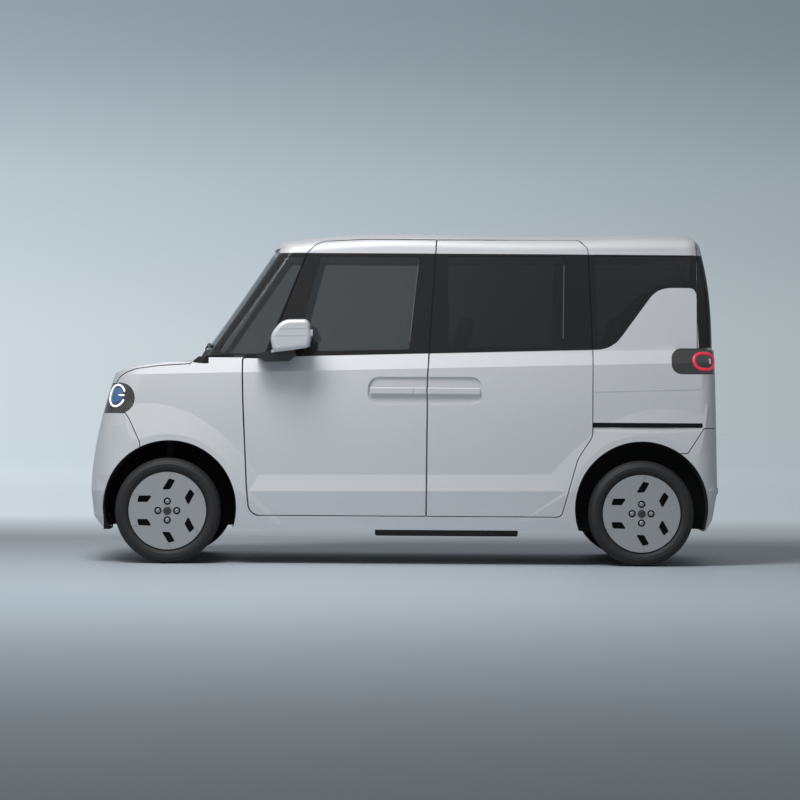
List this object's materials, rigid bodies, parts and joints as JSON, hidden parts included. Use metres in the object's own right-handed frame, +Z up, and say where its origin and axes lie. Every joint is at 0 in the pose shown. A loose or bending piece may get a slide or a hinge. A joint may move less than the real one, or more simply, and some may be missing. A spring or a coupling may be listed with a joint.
{
  "type": "kei car",
  "caption": "Tall boxy kei wagon with hinged front doors, sliding rear side doors, lifting tailgate and bonnet, steered front wheels and a hollow cabin with seats.",
  "frame": {"origin": "middle of the body on the ground, under the box's centre", "axes": "+X towards the rear, +Y towards the car's right side, +Z up"},
  "size_m": [3.3943, 1.86, 1.7905],
  "materials": {
    "body_paint": "white paint, gloss clear coat",
    "dark_metal": "black underbody paint",
    "clear_glass": "light green laminated glass",
    "privacy_glass": "dark privacy glass",
    "black_gloss": "gloss black",
    "black_plastic": "grained black",
    "lamp_dark": "dark lamp housing under a clear lens",
    "lamp_red": "red lens",
    "tyre": "black tyre",
    "cover_silver": "silver wheel cover on a steel rim",
    "bare_steel": "steel",
    "cast": "cast metal",
    "exhaust_steel": "heat-stained steel",
    "trim_grey": "grained dark grey",
    "seat_fabric": "dark grey woven fabric",
    "floor_carpet": "painted floor under carpet",
    "tank_plastic": "black moulded tank"
  },
  "bodies": {
    "body": {"side_frames": "body_paint", "front_fenders": "body_paint", "roof_panel": "body_paint", "front_bumper": "body_paint", "rear_bumper": "body_paint", "grille": "black_gloss", "headlamps": "lamp_dark", "tail_lamps": "lamp_red", "cowl": "black_plastic", "front_glass": "clear_glass", "rear_side_glass": "privacy_glass", "sliding_doors": "body_paint", "floor_pan": "floor_carpet", "bulkhead": "dark_metal", "wheel_liners": "black_plastic", "front_subframe": "dark_metal", "engine_block": "cast", "rear_axle": "dark_metal", "fuel_tank": "tank_plastic", "exhaust": "exhaust_steel", "dashboard": "trim_grey", "steering_wheel": "black_plastic", "seat_cushions": "seat_fabric", "seat_backs": "seat_fabric", "seat_bases": "black_plastic"},
    "bonnet": {"bonnet": "body_paint"},
    "tailgate": {"tailgate": "body_paint", "tailgate_glass": "privacy_glass"},
    "door_left": {"front_door_left": "body_paint", "front_door_glass_left": "clear_glass", "mirror_left": "body_paint"},
    "door_right": {"front_door_right": "body_paint", "front_door_glass_right": "clear_glass", "mirror_right": "body_paint"},
    "knuckle_left": {"knuckle_left": "bare_steel"},
    "knuckle_right": {"knuckle_right": "bare_steel"},
    "wheel_front_left": {"tyre_front_left": "tyre", "wheel_front_left": "cover_silver"},
    "wheel_front_right": {"tyre_front_right": "tyre", "wheel_front_right": "cover_silver"},
    "wheel_rear_left": {"tyre_rear_left": "tyre", "wheel_rear_left": "cover_silver"},
    "wheel_rear_right": {"tyre_rear_right": "tyre", "wheel_rear_right": "cover_silver"}
  },
  "joints": [
    {"name": "bonnet_hinge", "type": "hinge", "parent": "body", "child": "bonnet", "pos_m": [-1.125, 0, 1.084], "axis": [0, 1, 0], "range_deg": [0, 50]},
    {"name": "tailgate_hinge", "type": "hinge", "parent": "body", "child": "tailgate", "pos_m": [1.44, 0, 1.738], "axis": [0, -1, 0], "range_deg": [0, 82]},
    {"name": "door_left_hinge", "type": "hinge", "parent": "body", "child": "door_left", "pos_m": [-0.801, -0.7255, 0.6], "axis": [0, 0, -1], "range_deg": [0, 68]},
    {"name": "door_right_hinge", "type": "hinge", "parent": "body", "child": "door_right", "pos_m": [-0.801, 0.7255, 0.6], "axis": [0, 0, 1], "range_deg": [0, 68]},
    {"name": "steer_left", "type": "hinge", "parent": "body", "child": "knuckle_left", "pos_m": [-1.252, -0.6, 0.281], "axis": [0, 0, 1], "range_deg": [-35, 35]},
    {"name": "steer_right", "type": "hinge", "parent": "body", "child": "knuckle_right", "pos_m": [-1.252, 0.6, 0.281], "axis": [0, 0, 1], "range_deg": [-35, 35]},
    {"name": "spin_front_left", "type": "hinge", "parent": "knuckle_left", "child": "wheel_front_left", "pos_m": [-1.252, -0.6525, 0.281], "axis": [0, 1, 0], "continuous": true},
    {"name": "spin_front_right", "type": "hinge", "parent": "knuckle_right", "child": "wheel_front_right", "pos_m": [-1.252, 0.6525, 0.281], "axis": [0, 1, 0], "continuous": true},
    {"name": "spin_rear_left", "type": "hinge", "parent": "body", "child": "wheel_rear_left", "pos_m": [1.268, -0.6525, 0.281], "axis": [0, 1, 0], "continuous": true},
    {"name": "spin_rear_right", "type": "hinge", "parent": "body", "child": "wheel_rear_right", "pos_m": [1.268, 0.6525, 0.281], "axis": [0, 1, 0], "continuous": true}
  ],
  "couplings": [
    {"joint": "steer_right", "follows": "steer_left", "ratio": 1}
  ]
}
